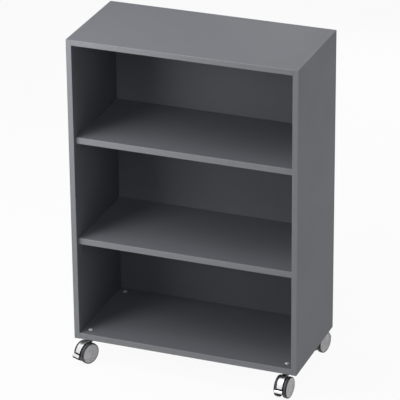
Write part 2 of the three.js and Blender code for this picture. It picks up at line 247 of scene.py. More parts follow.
def on_bench(bm: BMesh, modifiers: dict[str, dict[str, Any]]) -> BMesh:
    """Puts a body through modifiers on a short-lived object.

    Args:
        bm: The body, which is freed.
        modifiers: The settings of each modifier by its type, in order.

    Returns:
        The body as the modifiers leave it.
    """
    bench = bpy.data.objects.new("bench", mesh_of(bm, "bench"))
    bpy.context.scene.collection.objects.link(bench)
    for kind, settings in modifiers.items():
        modifier = bench.modifiers.new(kind, kind)
        for name, setting in settings.items():
            setattr(modifier, name, setting)
    bpy.context.view_layer.update()
    graph = bpy.context.evaluated_depsgraph_get()
    worked = bpy.data.meshes.new_from_object(bench.evaluated_get(graph))
    result = bmesh.new()
    result.from_mesh(worked)
    rough = bench.data
    bpy.data.objects.remove(bench)
    bpy.data.meshes.remove(rough)
    bpy.data.meshes.remove(worked)
    return result


def cut_away(bm: BMesh, tools: Sequence[BMesh]) -> BMesh:
    """Takes the tools' space out of a body.

    Args:
        bm: The body, which is freed.
        tools: The bodies whose space goes, which are freed too.

    Returns:
        The rest of the body.
    """
    tool = bpy.data.objects.new("tool", mesh_of(joined(tools), "tool"))
    bpy.context.scene.collection.objects.link(tool)
    result = on_bench(bm, {"BOOLEAN": {"operation": "DIFFERENCE", "solver": "EXACT",
                                       "use_self": True, "object": tool}})
    mesh = tool.data
    bpy.data.objects.remove(tool)
    bpy.data.meshes.remove(mesh)
    bmesh.ops.remove_doubles(result, verts=result.verts, dist=MERGE_DISTANCE)
    return result


def cast(bm: BMesh, grain: float, polish: int) -> BMesh:
    """Melts overlapping bodies into one casting with soft fillets.

    Args:
        bm: The overlapping bodies.
        grain: The size of the steps that the surface is rebuilt from.
        polish: How many times the surface is smoothed.

    Returns:
        The one body.
    """
    return on_bench(bm, {"REMESH": {"mode": "VOXEL", "voxel_size": grain},
                         "SMOOTH": {"factor": RUB_STRENGTH, "iterations": polish}})


def arc(centre: Point, radius: float, start: float, end: float, steps: int) -> list[Point]:
    """Lists the points of a round stretch, from the start angle to the end angle in degrees."""
    angles = [math.radians(start + (end - start) * step / steps) for step in range(steps + 1)]
    return [(centre[0] + radius * math.cos(a), centre[1] + radius * math.sin(a)) for a in angles]


def polar(radius: float, angle: float) -> Point:
    """Gives the point at a radius and an angle in degrees."""
    return radius * math.cos(math.radians(angle)), radius * math.sin(math.radians(angle))


def curve(start: Point, pull: Point, end: Point, steps: int) -> list[Point]:
    """Draws a curve towards one point.

    Args:
        start: Its first point.
        pull: The point that it is drawn towards.
        end: Its last point.
        steps: The straight stretches that it is made of.

    Returns:
        Its points from the start to the end.
    """
    shares = [step / steps for step in range(steps + 1)]
    return [tuple((1 - t) ** 2 * a + 2 * t * (1 - t) * b + t * t * c
                  for a, b, c in zip(start, pull, end)) for t in shares]


# Shader work


def pick(sockets: Iterable[NodeSocket], name: str, kind: str) -> NodeSocket:
    """Finds a socket by its name and its kind, for nodes that show one name several times."""
    return next(socket for socket in sockets if socket.name == name and socket.type == kind)


def add_node(tree: NodeTree, kind: str, levels: dict[str | int, float] | None = None,
             **settings: Any) -> Node:
    """Adds a shader node.

    Args:
        tree: The tree that gets it.
        kind: Its type, without the leading "ShaderNode".
        levels: The values of its own inputs, by name or by number.
        settings: Its settings, which are made before its inputs are filled in.

    Returns:
        The node.
    """
    node = tree.nodes.new(f"ShaderNode{kind}")
    for name, setting in settings.items():
        setattr(node, name, setting)
    for name, level in (levels or {}).items():
        node.inputs[name].default_value = level
    return node


def wire(tree: NodeTree, *wires: tuple[Node, str, Node, str | int]) -> None:
    """Links nodes, each wire from a node's output to the next node's input."""
    for start, output, end, entry in wires:
        tree.links.new(start.outputs[output], end.inputs[entry])


def new_group(name: str, numbers: Sequence[str],
              gives: Sequence[str]) -> tuple[NodeTree, Node, Node]:
    """Starts a node group that reads a place on the surface.

    Args:
        name: The group's name.
        numbers: The names of its number inputs.
        gives: The names of the values that it puts out.

    Returns:
        The group, its input node and its output node.
    """
    tree = bpy.data.node_groups.new(name, "ShaderNodeTree")
    tree.interface.new_socket("Vector", in_out="INPUT", socket_type="NodeSocketVector")
    for socket in numbers:
        tree.interface.new_socket(socket, in_out="INPUT", socket_type="NodeSocketFloat")
    for socket in gives:
        tree.interface.new_socket(socket, in_out="OUTPUT", socket_type="NodeSocketFloat")
    return tree, tree.nodes.new("NodeGroupInput"), tree.nodes.new("NodeGroupOutput")


@lru_cache(maxsize=None)
def fine_grain() -> NodeTree:
    """Builds the group for the fine relief and the slow change of tone that every surface has.

    Returns:
        The group, which puts out a height and a tone.
    """
    pebble_share = 0.6
    tree, given, result = new_group("Fine grain", ("Fineness", "Tone fineness"), ("Height", "Tone"))
    pebbles = add_node(tree, "TexVoronoi", feature="SMOOTH_F1")
    dust = add_node(tree, "TexNoise", {"Detail": 3})
    clouds = add_node(tree, "TexNoise", {"Detail": 4})
    both = add_node(tree, "Math", {1: pebble_share}, operation="MULTIPLY_ADD")
    for texture, fineness in ((pebbles, "Fineness"), (dust, "Fineness"), (clouds, "Tone fineness")):
        wire(tree, (given, "Vector", texture, "Vector"), (given, fineness, texture, "Scale"))
    wire(tree, (pebbles, "Distance", both, 0), (dust, "Fac", both, 2),
         (both, "Value", result, "Height"), (clouds, "Fac", result, "Tone"))
    return tree


@lru_cache(maxsize=None)
def hand_marks() -> NodeTree:
    """Builds the group for the faint marks that handling leaves.

    Returns:
        The group, which puts out a mask from 0 to 1.
    """
    tree, given, result = new_group("Hand marks", ("Fineness",), ("Mask",))
    smears = add_node(tree, "TexNoise", {"Detail": 2, "Distortion": 0.6})
    spread = add_node(tree, "MapRange", {"From Min": 0.4, "From Max": 0.7})
    wire(tree, (given, "Vector", smears, "Vector"), (given, "Fineness", smears, "Scale"),
         (smears, "Fac", spread, "Value"), (spread, "Result", result, "Mask"))
    return tree


@dataclass(frozen=True)
class Finish:
    """The finish of a surface: colour, gloss and relief."""

    name: str
    slot: str
    colour: Colour
    tone_spread: float
    roughness: float
    marked_roughness: float
    relief: float
    fineness: float
    tone_fineness: float = 30
    mark_fineness: float = 14
    metallic: float = 0
    mirror: float = 0.5

    @lru_cache(maxsize=None)
    def material(self) -> Material:
        """Builds the material once.

        Returns:
            A Principled material whose tone, gloss and relief change over the surface.
        """
        made = bpy.data.materials.new(self.name)
        made.use_nodes = True
        tree = made.node_tree
        shader = tree.nodes["Principled BSDF"]
        shader.inputs["Metallic"].default_value = self.metallic
        shader.inputs["Specular IOR Level"].default_value = self.mirror
        place = add_node(tree, "TexCoord")
        grain = add_node(tree, "Group", {"Fineness": self.fineness,
                                         "Tone fineness": self.tone_fineness},
                         node_tree=fine_grain())
        marks = add_node(tree, "Group", {"Fineness": self.mark_fineness}, node_tree=hand_marks())
        self._tint(tree, grain.outputs["Tone"], shader.inputs["Base Color"])
        gloss = add_node(tree, "MapRange", {"To Min": self.roughness,
                                            "To Max": self.marked_roughness})
        bump = add_node(tree, "Bump", {"Distance": self.relief})
        wire(tree, (place, "Object", grain, "Vector"), (place, "Object", marks, "Vector"),
             (marks, "Mask", gloss, "Value"), (gloss, "Result", shader, "Roughness"),
             (grain, "Height", bump, "Height"), (bump, "Normal", shader, "Normal"))
        return made

    def _tint(self, tree: NodeTree, tone: NodeSocket, base: NodeSocket) -> None:
        """Lets the colour drift about its middle tone.

        Args:
            tree: The material's tree.
            tone: The tone, from 0 to 1.
            base: The shader's colour socket.
        """
        mix = add_node(tree, "Mix", data_type="RGBA")
        for name, share in (("A", 1 - self.tone_spread), ("B", 1 + self.tone_spread)):
            colour = [min(1.0, level * share) for level in self.colour[:3]] + [1.0]
            pick(mix.inputs, name, "RGBA").default_value = colour
        tree.links.new(tone, pick(mix.inputs, "Factor", "VALUE"))
        tree.links.new(pick(mix.outputs, "Result", "RGBA"), base)


BOARD = Finish("anthracite melamine", "board", linear(115, 117, 123), 0.02, 0.46, 0.5,
               0.03 * MM, 900, tone_fineness=9, mark_fineness=7, mirror=0.12)
EDGE_BAND = Finish("anthracite edge band", "edge_band", linear(137, 139, 144), 0.02, 0.38, 0.44,
                   0.01 * MM, 1400, mirror=0.4)
CHROME = Finish("satin chrome", "chrome", linear(222, 223, 225), 0.01, 0.24, 0.32,
                0.001 * MM, 600, metallic=1)
# Painted shade: black on the hood's web, neck and hub, where shade falls between the wheels and under the case.
HOOD_PAINTED_SHADE = Finish("hood web painted shade", "chrome", linear(22, 22, 24), 0.06, 0.4, 0.54,
                    0.02 * MM, 1300, mirror=0.25)
# Painted shade: black on the lip below the pedal's foot plate, where the shade under the pedal falls.
PEDAL_PAINTED_SHADE = Finish("pedal lip painted shade", "chrome", linear(12, 12, 13), 0.1, 0.64, 0.76,
                     0.02 * MM, 1200, mirror=0.12)
BOLT_STEEL = Finish("matt silver coating", "chrome", linear(228, 229, 230), 0.02, 0.4, 0.5,
                    0.003 * MM, 900, metallic=0.2)
STEM_STEEL = Finish("blackened steel", "stem_steel", linear(52, 52, 54), 0.06, 0.36, 0.5,
                    0.01 * MM, 1500, metallic=0.6)
PIN_STEEL = Finish("nickel-plated steel", "pin_steel", linear(200, 199, 196), 0.03, 0.2, 0.3,
                   0.005 * MM, 1500, metallic=1)
WHEEL_PLASTIC = Finish("grey moulded wheel", "wheel_plastic", linear(220, 220, 222), 0.03, 0.36,
                       0.46, 0.02 * MM, 1200)
# Painted shade: black on the tyre's rounded shoulders and inner wall, over grey rubber.
TYRE_PAINTED_SHADE = Finish("tyre shoulder painted shade", "tyre_rubber", linear(20, 20, 22), 0.1, 0.44, 0.58,
                   0.03 * MM, 1100, mirror=0.2)
TREAD = Finish("grey running tread", "tyre_rubber", linear(84, 84, 86), 0.08, 0.46, 0.6,
               0.06 * MM, 1100)
TYRE_WALL = Finish("grey tyre wall", "tyre_rubber", linear(84, 84, 86), 0.06, 0.42, 0.52,
                   0.03 * MM, 1100)


def add_piece(mesh: Mesh, finishes: Sequence[Finish], node: str, shading: Shading) -> None:
    """Adds a finished piece that stands for a node and rides on the node's body.

    Args:
        mesh: The piece's mesh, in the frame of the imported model.
        finishes: Its finishes, in the order of the mesh's material numbers.
        node: The node that it stands for and is named after.
        shading: How its faces meet in the light.
    """
    body = body_of(node)
    piece = bpy.data.objects.new(f"{node}_piece", mesh)
    mesh.name = piece.name
    for finish in finishes:
        mesh.materials.append(finish.material())
    if shading is Shading.SMOOTH:
        mesh.shade_smooth()
        mesh.set_sharp_from_angle(angle=SMOOTH_BELOW)
    bpy.context.scene.collection.objects.link(piece)
    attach(piece, body)
    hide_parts(node)
    log.info("%s: %d faces on %s", piece.name, len(mesh.polygons), body)


def body_of(node: str) -> str:
    """Names the body that holds a node."""
    bodies = frame["record"]["behaviour"]["bodies"]
    return next(body for body, members in bodies.items() if node in members)


@dataclass
class Case:
    """The boards of the case, their edge bands, the loose shelves and the shelf pins."""

    arris: float = 0.3 * MM
    band_radius: float = 1.5 * MM
    band_facets: int = 6
    rebate_depth: float = 9 * MM
    cut_overrun: float = 1 * MM
    pin_hole_radius: float = 2.8 * MM
    pin_hole_depth: float = 11.5 * MM
    hole_pitch: float = 32 * MM
    hole_rows: tuple[int, ...] = (-1, 0, 1)
    hole_steps: int = 32
    bolt_bore_radius: float = 4.3 * MM
    bolt_seat_radius: float = 8.1 * MM
    bolt_seat_depth: float = 1 * MM
    pin_radius: float = 2.5 * MM
    pin_end_easing: float = 0.6 * MM
    pin_collar_radius: float = 4.5 * MM
    pin_collar_gap: float = 0.2 * MM
    pin_collar_reach: float = 0.7 * MM

    def build(self) -> None:
        """Builds every piece of the case."""
        for side, hand in SIDES:
            self._board(f"side_panel_{side}", self._side_cuts(side, hand))
            self._band(f"side_edge_{side}", upright=True)
        self._board("top_panel", [self._rebate("top_panel", below=True)])
        self._board("bottom_panel", [self._rebate("bottom_panel", below=False),
                                     *self._bolt_bores()])
        self._board("back_panel")
        for node in ("top_edge", "bottom_edge"):
            self._band(node)
        for level in ("lower", "upper"):
            self._board(f"shelf_{level}")
            self._band(f"shelf_edge_{level}")
            for end in ("front", "back"):
                for side, hand in SIDES:
                    self._pin(f"shelf_pin_{level}_{end}_{side}", hand)

    def _board(self, node: str, tools: Sequence[BMesh] = ()) -> None:
        """Adds a board with slightly eased edges.

        Args:
            node: The board's node.
            tools: The bodies whose space is cut out of the board.
        """
        board = soften(block(*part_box(node)), self.arris)
        board = cut_away(board, tools) if tools else board
        add_piece(mesh_of(board, node), [BOARD], node, Shading.FLAT)

    def _rebate(self, node: str, below: bool) -> BMesh:
        """Makes the tool for the back panel's rebate along a level board's rear edge.

        Args:
            node: The board's node.
            below: Whether the rebate opens downwards.

        Returns:
            The tool.
        """
        low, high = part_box(node)
        panel_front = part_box("back_panel")[0].y
        over = self.cut_overrun
        bottom = low.z - over if below else high.z - self.rebate_depth
        top = low.z + self.rebate_depth if below else high.z + over
        return block(Vector((low.x - over, panel_front, bottom)),
                     Vector((high.x + over, high.y + over, top)))

    def _bolt_bores(self) -> list[BMesh]:
        """Makes the tools for the stepped bores of the caster bolts.

        Returns:
            One tool for each bolt.
        """
        low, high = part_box("bottom_panel")
        bore, head = self.bolt_bore_radius, self.bolt_seat_radius
        start, end = low.z - self.cut_overrun, high.z + self.cut_overrun
        seat = high.z - self.bolt_seat_depth
        profile = [(0, start), (bore, start), (bore, seat), (head, seat), (head, end), (0, end)]
        tools = []
        for node in (name for name in frame["nodes"] if name.endswith("_bolt")):
            near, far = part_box(node)
            middle = (near + far) / 2
            tool = turned(profile, Turn.UPRIGHT, self.hole_steps)
            tools.append(moved(tool, (middle.x, middle.y, 0)))
        return tools

    def _side_cuts(self, side: str, hand: int) -> list[BMesh]:
        """Makes the tools for a side board's rebate and its rows of pin holes.

        Args:
            side: "left" or "right".
            hand: The sign of the side's X.

        Returns:
            The tools.
        """
        low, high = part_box(f"side_panel_{side}")
        back_low, back_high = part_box("back_panel")
        inside = low.x if hand > 0 else high.x
        over = self.cut_overrun
        reach = sorted((inside - hand * over, inside + hand * self.rebate_depth))
        clearance = self.rebate_depth - abs(back_high.x - abs(inside))
        tools = [block(Vector((reach[0], back_low.y, back_low.z - clearance)),
                       Vector((reach[1], high.y + over, back_high.z + clearance)))]
        for level in ("lower", "upper"):
            for end in ("front", "back"):
                pin_low, pin_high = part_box(f"shelf_pin_{level}_{end}_{side}")
                middle = (pin_low + pin_high) / 2
                for row in self.hole_rows:
                    place = Vector((inside, middle.y, middle.z + row * self.hole_pitch))
                    tools.append(self._pin_hole(place, hand))
        return tools

    def _pin_hole(self, place: Vector, hand: int) -> BMesh:
        """Makes the tool for one blind pin hole.

        Args:
            place: The hole's middle on the inner face of the side.
            hand: The sign of the side's X.

        Returns:
            The tool.
        """
        start, end = -self.cut_overrun * hand, self.pin_hole_depth * hand
        radius = self.pin_hole_radius
        tool = turned([(0, start), (radius, start), (radius, end), (0, end)], Turn.ACROSS,
                      self.hole_steps)
        return moved(tool, place)

    def _band(self, node: str, upright: bool = False) -> None:
        """Adds an edge band whose two long front edges are rounded.

        Args:
            node: The band's node.
            upright: Whether the band stands, as on a side.
        """
        low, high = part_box(node)
        band = block(low, high)
        along = 2 if upright else 0
        front = [edge for edge in band.edges
                 if all(abs(vert.co.y - low.y) < MERGE_DISTANCE for vert in edge.verts)
                 and abs(edge.verts[0].co[along] - edge.verts[1].co[along]) > MERGE_DISTANCE]
        bmesh.ops.bevel(band, geom=front, offset=self.band_radius, offset_type="OFFSET",
                        segments=self.band_facets, profile=0.5, affect="EDGES",
                        clamp_overlap=True, material=-1)
        add_piece(mesh_of(band, node), [EDGE_BAND], node, Shading.FLAT)

    def _pin(self, node: str, hand: int) -> None:
        """Adds a shelf pin: plug, thin collar and a peg with an eased end.

        Args:
            node: The pin's node.
            hand: The sign of the side's X.
        """
        low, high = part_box(node)
        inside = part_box("side_panel_right")[0].x * hand
        plug = (high.x if hand > 0 else -low.x) - abs(inside)
        peg = abs(inside) - (low.x if hand > 0 else -high.x)
        radius, collar, ease = self.pin_radius, self.pin_collar_radius, self.arris
        near, far, rounding = self.pin_collar_gap, self.pin_collar_reach, self.pin_end_easing
        profile = [(0, -peg), (radius - rounding, -peg), (radius, -peg + rounding), (radius, -far),
                   (collar, -far), (collar, -near), (radius, -near), (radius, plug - ease),
                   (radius - ease, plug), (0, plug)]
        pin = turned([(r, hand * reach) for r, reach in profile], Turn.ACROSS, self.hole_steps)
        middle = (low + high) / 2
        pin = moved(pin, (inside, middle.y, middle.z))
        add_piece(mesh_of(pin, node), [PIN_STEEL], node, Shading.SMOOTH)


@dataclass
class TwinWheelCaster:
    """A swivel caster with two wheels, a hood between them and a brake pedal.

    Pieces are modelled about the swivel axis, with the wheels trailing to the front and the floor
    at zero. Angles are in degrees about the axle, from the rear upwards.
    """

    trail: float = 22 * MM
    wheel_radius: float = 37.5 * MM
    wheel_width: float = 15 * MM
    wheel_gap: float = 16 * MM
    wheel_easing: float = 0.5 * MM
    running_gap: float = 0.3 * MM
    tyre_thickness: float = 4 * MM
    tyre_shoulder: float = 2.2 * MM
    shoulder_facets: int = 6
    # The width of black painted shade at each edge of the tread.
    shaded_shoulder_width: float = 3.4 * MM
    tread_crown: float = 0.5 * MM
    wall_slope: float = 0.55
    groove_width: float = 2.4 * MM
    groove_depth: float = 0.8 * MM
    rim_thickness: float = 3.2 * MM
    rim_setback: float = 1 * MM
    face_lip: float = 3 * MM
    face_dish: float = 2 * MM
    face_thickness: float = 4 * MM
    face_ring_radius: float = 21 * MM
    face_ring_width: float = 2 * MM
    face_ring_rise: float = 1.2 * MM
    boss_radius: float = 13 * MM
    boss_rise: float = 1.6 * MM
    hub_radius: float = 9 * MM
    axle_radius: float = 4 * MM
    axle_chamfer: float = 0.8 * MM
    axle_end_wall: float = 3 * MM
    axle_end_gap: float = 0.5 * MM
    case_height: float = 92 * MM
    flange_radius: float = 21 * MM
    flange_thickness: float = 3.5 * MM
    flange_chamfer: float = 1.2 * MM
    collar_radius: float = 8 * MM
    collar_depth: float = 6 * MM
    pintle_radius: float = 4.5 * MM
    retainer_radius: float = 6 * MM
    retainer_height: float = 3.5 * MM
    bolt_radius: float = 4 * MM
    bolt_chamfer: float = 0.5 * MM
    bolt_reach: float = 7.5 * MM
    bolt_head_radius: float = 7.5 * MM
    bolt_head_height: float = 3.4 * MM
    bolt_dome: tuple[Point, ...] = ((1, 0), (1, 0.3), (0.97, 0.5), (0.88, 0.75), (0.72, 0.92),
                                    (0.5, 1), (0, 1))
    bolt_socket_width: float = 5 * MM
    bolt_socket_depth: float = 2 * MM
    stem_hub_radius: float = 14 * MM
    stem_hub_rise: float = 1.3 * MM
    stem_hub_easing: float = 1 * MM
    web_side_gap: float = 0.7 * MM
    neck_drop: float = 5.5 * MM
    neck_rear_wall: float = 8 * MM
    neck_overlap: float = 2 * MM
    neck_front_gap: float = 1 * MM
    strap_width: float = 19 * MM
    strap_thickness: float = 3 * MM
    strap_gap: float = 2 * MM
    strap_front_angle: float = 166
    strap_steps: int = 48
    axle_boss_radius: float = 10.5 * MM
    axle_boss_arc: tuple[float, float] = (245, 330)
    pivot_radius: float = 27 * MM
    pivot_angle: float = 187
    trunnion_radius: float = 2.2 * MM
    trunnion_reach: float = 2.4 * MM
    ear_radius: float = 6.5 * MM
    ear_arc: tuple[float, float] = (150, 285)
    web_line_steps: int = 32
    ear_steps: int = 18
    curve_steps: int = 12
    pedal_arm_width: float = 8 * MM
    pedal_arm_height: float = 5 * MM
    pedal_hub_radius: float = 4.6 * MM
    pedal_slot_gap: float = 0.5 * MM
    pedal_hub_gap: float = 1 * MM
    plate_width: float = 28 * MM
    plate_thickness: float = 3 * MM
    plate_height: float = 10 * MM
    plate_standoff: float = 8 * MM
    plate_flare: float = 4 * MM
    plate_bulge: float = 2 * MM
    plate_top_angle: float = 171
    plate_steps: int = 10
    # A lip below the foot plate that carries black painted shade.
    shaded_lip_drop: float = 4.5 * MM
    shaded_lip_lap: float = 1.5 * MM
    overrun: float = 1 * MM
    casting_grain: float = 0.5 * MM
    hood_polish: int = 6
    pedal_polish: int = 3
    wheel_steps: int = 96
    small_steps: int = 48

    def build(self) -> None:
        """Models each kind of piece once and places it at the four corners."""
        kinds = {
            "bolt": (self._bolt(), [BOLT_STEEL]),
            "stem": (self._stem(), [STEM_STEEL]),
            # The second finishes of the hood and the pedal are black painted shade.
            "hood": (self._hood(), [CHROME, HOOD_PAINTED_SHADE]),
            "pedal": (self._pedal(), [CHROME, PEDAL_PAINTED_SHADE]),
            "axle": (self._axle(), [STEM_STEEL]),
        }
        for side, hand in SIDES:
            kinds[f"wheel_{side}"] = (self._wheel(self._wheel_profile(), hand), [WHEEL_PLASTIC])
            # The tyre's shoulders and inner wall carry black painted shade.
            tyre = self._with_tread(self._wheel(self._tyre_profile(), hand))
            kinds[f"tyre_{side}"] = (tyre, [TYRE_PAINTED_SHADE, TREAD, TYRE_WALL])
        for corner in ("front_left", "front_right", "back_left", "back_right"):
            place = self._place(corner)
            for kind, (body, finishes) in kinds.items():
                mesh = mesh_of(body.copy(), kind)
                mesh.transform(place)
                add_piece(mesh, finishes, f"caster_{corner}_{kind}", Shading.SMOOTH)
        for body, _ in kinds.values():
            body.free()

    @staticmethod
    def _place(corner: str) -> Matrix:
        """Finds a caster's place and turn from the axes of its joints.

        Args:
            corner: The corner that the caster stands under, such as "front_left".

        Returns:
            The transform from the caster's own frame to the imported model's.
        """
        joints = {joint["name"]: joint for joint in frame["joints"]}
        swivel = joints[f"{corner}_swivel"]["pos_m"]
        axle = joints[f"{corner}_wheel_right_roll"]["axis"]
        turn = Matrix.Rotation(math.atan2(axle[1], axle[0]), 4, "Z")
        return Matrix.Translation((swivel[0], swivel[1], 0)) @ turn

    def _at_axle(self, bm: BMesh) -> BMesh:
        """Moves a body modelled about the axle to its place."""
        return moved(bm, (0, -self.trail, self.wheel_radius))

    def _wheel(self, profile: list[Point], hand: int) -> BMesh:
        """Spins a wheel part, to one side of the hood.

        Args:
            profile: Its section, from its inner face outwards.
            hand: The sign of the side's X.

        Returns:
            The part, in its place on the axle.
        """
        inner = self.wheel_gap / 2
        return self._at_axle(turned([(radius, hand * (inner + reach)) for radius, reach in profile],
                                    Turn.ACROSS, self.wheel_steps))

    def _with_tread(self, tyre: BMesh) -> BMesh:
        """Gives a tyre's running tread and outer wall their own grey finishes, and its shoulders and inner wall
        black painted shade.

        Args:
            tyre: The tyre, which is changed.

        Returns:
            The same tyre.
        """
        axle = Vector((0, -self.trail, self.wheel_radius))
        middle = (self.wheel_gap + self.wheel_width) / 2
        tread_reach = self.wheel_width / 2 - self.shaded_shoulder_width
        # Shoulders and inner wall get black painted shade; the tread and outer wall stay grey.
        for face in tyre.faces:
            centre = face.calc_center_median() - axle
            outside = math.hypot(centre.y, centre.z) > self.wheel_radius - self.tyre_shoulder
            if math.copysign(1, centre.x) * face.normal.x > self.wall_slope:
                face.material_index = TyreZone.WALL
            elif outside and abs(abs(centre.x) - middle) < tread_reach:
                face.material_index = TyreZone.TREAD
            else:
                face.material_index = TyreZone.SHADED_SHOULDER
        return tyre

    def _tyre_profile(self) -> list[Point]:
        """Outlines the tyre: flat inside, round shoulders, a crowned tread and a shallow groove.

        Returns:
            The section, from the tyre's inner face outwards.
        """
        outside, inside = self.wheel_radius, self.wheel_radius - self.tyre_thickness
        width, shoulder, crown = self.wheel_width, self.tyre_shoulder, self.tread_crown
        middle, groove = width / 2, self.groove_width / 2
        round_middle, facets = outside - crown - shoulder, self.shoulder_facets
        low = arc((round_middle, shoulder), shoulder, -90, 0, facets)
        high = arc((round_middle, width - shoulder), shoulder, 0, 90, facets)
        rise = [(outside - crown / 2, (shoulder + middle - groove) / 2), (outside, middle - groove)]
        fall = [(radius, width - reach) for radius, reach in reversed(rise)]
        floor = [(outside - self.groove_depth, middle - groove / 2),
                 (outside - self.groove_depth, middle + groove / 2)]
        return [(inside, 0), *low, *rise, *floor, *fall, *high, (inside, width), (inside, 0)]

    def _wheel_profile(self) -> list[Point]:
        """Outlines the wheel centre: blind axle bore, pocket, rim, and the ringed outer face.

        Returns:
            The section, from the wheel's inner face outwards.
        """
        rim = self.wheel_radius - self.tyre_thickness - self.running_gap
        rim_inside = rim - self.rim_thickness
        bore, bore_end = self.axle_radius + self.running_gap, self.wheel_width - self.axle_end_wall
        hub, boss = self.hub_radius, self.boss_radius
        width, ease = self.wheel_width, self.wheel_easing
        dish = width - self.face_dish
        lip = rim - self.face_lip
        ring, half_ring = self.face_ring_radius, self.face_ring_width / 2
        ring_top, boss_top = dish + self.face_ring_rise, dish + self.boss_rise
        pocket = dish - self.face_thickness
        return [(0, bore_end), (bore, bore_end), (bore, ease), (bore + ease, 0),
                (hub - ease, 0), (hub, ease), (hub, pocket),
                (rim_inside, pocket), (rim_inside, self.rim_setback),
                (rim, self.rim_setback), (rim, width - ease), (rim - ease, width),
                (lip + ease, width), (lip, width - ease), (lip - self.face_dish, dish),
                (ring + 2 * half_ring, dish), (ring + half_ring, ring_top),
                (ring - half_ring, ring_top), (ring - 2 * half_ring, dish),
                (boss + self.boss_rise, dish), (boss, boss_top - ease / 2),
                (boss - ease, boss_top), (hub, boss_top),
                (hub - ease, dish + ease), (self.axle_radius, dish + ease / 2),
                (0, dish + ease / 2)]

    def _axle(self) -> BMesh:
        """Makes the axle, held in the blind bores of both wheel centres.

        Returns:
            The axle.
        """
        reach = self.wheel_gap / 2 + self.wheel_width - self.axle_end_wall - self.axle_end_gap
        radius, ease = self.axle_radius, self.axle_chamfer
        half = [(0, reach), (radius - ease, reach), (radius, reach - ease)]
        profile = half + [(r, -x) for r, x in reversed(half)]
        return self._at_axle(turned(profile, Turn.ACROSS, self.small_steps))

    def _stem(self) -> BMesh:
        """Makes the swivel stem: flange, collar, pintle and retaining ring.

        Returns:
            The stem.
        """
        top, flange, collar = self.case_height, self.flange_radius, self.collar_radius
        pintle, ring, chamfer = self.pintle_radius, self.retainer_radius, self.flange_chamfer
        under_flange = top - self.flange_thickness
        under_collar = under_flange - self.collar_depth
        ring_top = self._neck_under() - self.running_gap
        ring_low = ring_top - self.retainer_height
        bore = self.bolt_radius + self.running_gap
        bore_floor = top - self.bolt_reach - self.running_gap
        return turned([(0, ring_low), (pintle, ring_low), (ring, (ring_low + ring_top) / 2),
                       (ring, ring_top), (pintle, ring_top), (pintle, under_collar),
                       (collar, under_collar), (collar, under_flange), (flange, under_flange),
                       (flange, top - chamfer), (flange - chamfer, top), (bore, top),
                       (bore, bore_floor), (0, bore_floor)], Turn.UPRIGHT, self.small_steps)

    def _hub_under(self) -> float:
        """Gives the height of the hood's hub above the floor."""
        return 2 * self.wheel_radius + self.stem_hub_rise

    def _neck_under(self) -> float:
        """Gives the height of the neck under the hood's hub."""
        return self._hub_under() - self.neck_drop

    def _bolt(self) -> BMesh:
        """Makes the bolt: domed head in its seat on the bottom board, hex socket and shank.

        Returns:
            The bolt.
        """
        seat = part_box("bottom_panel")[1].z - Case.bolt_seat_depth
        head, height = self.bolt_head_radius, self.bolt_head_height
        radius, ease, low = self.bolt_radius, self.bolt_chamfer, self.case_height - self.bolt_reach
        dome = [(width * head, seat + rise * height) for width, rise in self.bolt_dome]
        body = turned([(0, low), (radius - ease, low), (radius, low + ease), (radius, seat), *dome],
                      Turn.UPRIGHT, self.small_steps)
        socket = bmesh.new()
        corner = self.bolt_socket_width / 2 / math.cos(math.pi / 6)
        bmesh.ops.create_cone(socket, cap_ends=True, segments=6, radius1=corner, radius2=corner,
                              depth=2 * self.bolt_socket_depth)
        return cut_away(body, [moved(socket, (0, 0, seat + height))])

    def _web(self) -> list[Point]:
        """Outlines the hood's web from the side: neck, strap line, ear and axle boss.

        Returns:
            The outline, about the axle.
        """
        neck_low = self._neck_under() - self.wheel_radius
        hub_low = self._hub_under() - self.wheel_radius
        rear = self.trail + self.neck_rear_wall
        front = self.trail - self.retainer_radius - self.neck_front_gap
        reach = self.wheel_radius + self.strap_gap + self.strap_thickness / 2
        boss, steps = self.axle_boss_radius, self.curve_steps
        points = [(rear, neck_low), (rear, hub_low + self.neck_overlap)]
        points += arc((0, 0), reach, self._strap_start(), self.strap_front_angle,
                      self.web_line_steps)
        points += arc(polar(self.pivot_radius, self.pivot_angle), self.ear_radius, *self.ear_arc,
                      self.ear_steps)
        points += arc((0, 0), boss, *self.axle_boss_arc, steps)
        return points[:-1] + curve(points[-1], (boss, neck_low / 2), (front, neck_low), steps)

    def _strap_start(self) -> float:
        """Gives the angle at which the strap leaves the hub."""
        out = self.wheel_radius + self.strap_gap + self.strap_thickness
        return math.degrees(math.acos((self.trail - self.stem_hub_radius / 2) / out))

    def _hood(self) -> BMesh:
        """Casts the hood from its web, strap and hub, then bores it and cuts the pedal's slot.

        Returns:
            The hood.
        """
        inner = self.wheel_radius + self.strap_gap
        outer = inner + self.strap_thickness
        side = self.strap_width / 2
        start, end = self._strap_start(), self.strap_front_angle
        section = [(inner, -side), (outer, -side), (outer, side), (inner, side), (inner, -side)]
        strap = turned(section, Turn.ACROSS, self.strap_steps, math.radians(end - start),
                       math.radians(start))
        web = pressed(self._web(), self.wheel_gap - 2 * self.web_side_gap)
        top = self.case_height - self.flange_thickness - self.running_gap
        low, radius, ease = self._hub_under(), self.stem_hub_radius, self.stem_hub_easing
        hub = turned([(0, low), (radius - ease, low), (radius, low + ease), (radius, top - ease),
                      (radius - ease, top), (0, top)], Turn.UPRIGHT, self.small_steps)
        body = cast(joined([self._at_axle(strap), self._at_axle(web), hub]), self.casting_grain,
                    self.hood_polish)
        return self._with_bright_strap(cut_away(body, self._hood_bores(outer, top)))

